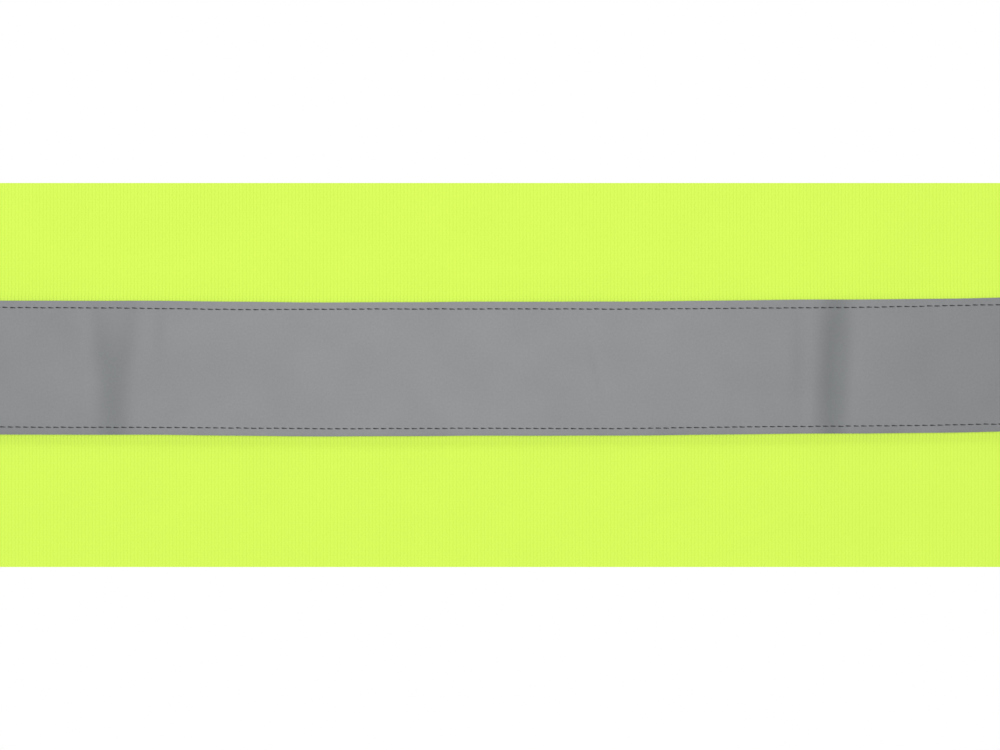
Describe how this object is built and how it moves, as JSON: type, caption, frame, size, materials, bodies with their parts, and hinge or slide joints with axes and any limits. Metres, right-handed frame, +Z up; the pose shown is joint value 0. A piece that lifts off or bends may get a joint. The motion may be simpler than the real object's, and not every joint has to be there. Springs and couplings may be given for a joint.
{
  "type": "hi-vis t-shirt",
  "caption": "Short-sleeved high-visibility T-shirt laid flat, with a ribbed crew neck and a reflective tape round the body, worn so that the wearer is seen.",
  "frame": {"origin": "on the surface that the shirt lies on, under the middle of its outline", "axes": "+X across the shirt towards the wearer's left sleeve, +Y along it towards the neck, +Z up from the surface, out of the front"},
  "size_m": [0.8798, 0.765, 0.0071],
  "materials": {
    "knit": "fluorescent yellow birdseye knit, polyester, matt with a slight sheen",
    "rib": "fluorescent yellow one-by-one rib, polyester, matt",
    "tape": "grey retroreflective tape, glass beads on a woven backing, soft satin"
  },
  "bodies": {
    "root": {"back": "knit", "front": "knit", "sleeve_left": "knit", "sleeve_right": "knit", "neck_rib": "rib", "tape_back": "tape", "tape_front": "tape"}
  },
  "joints": []
}
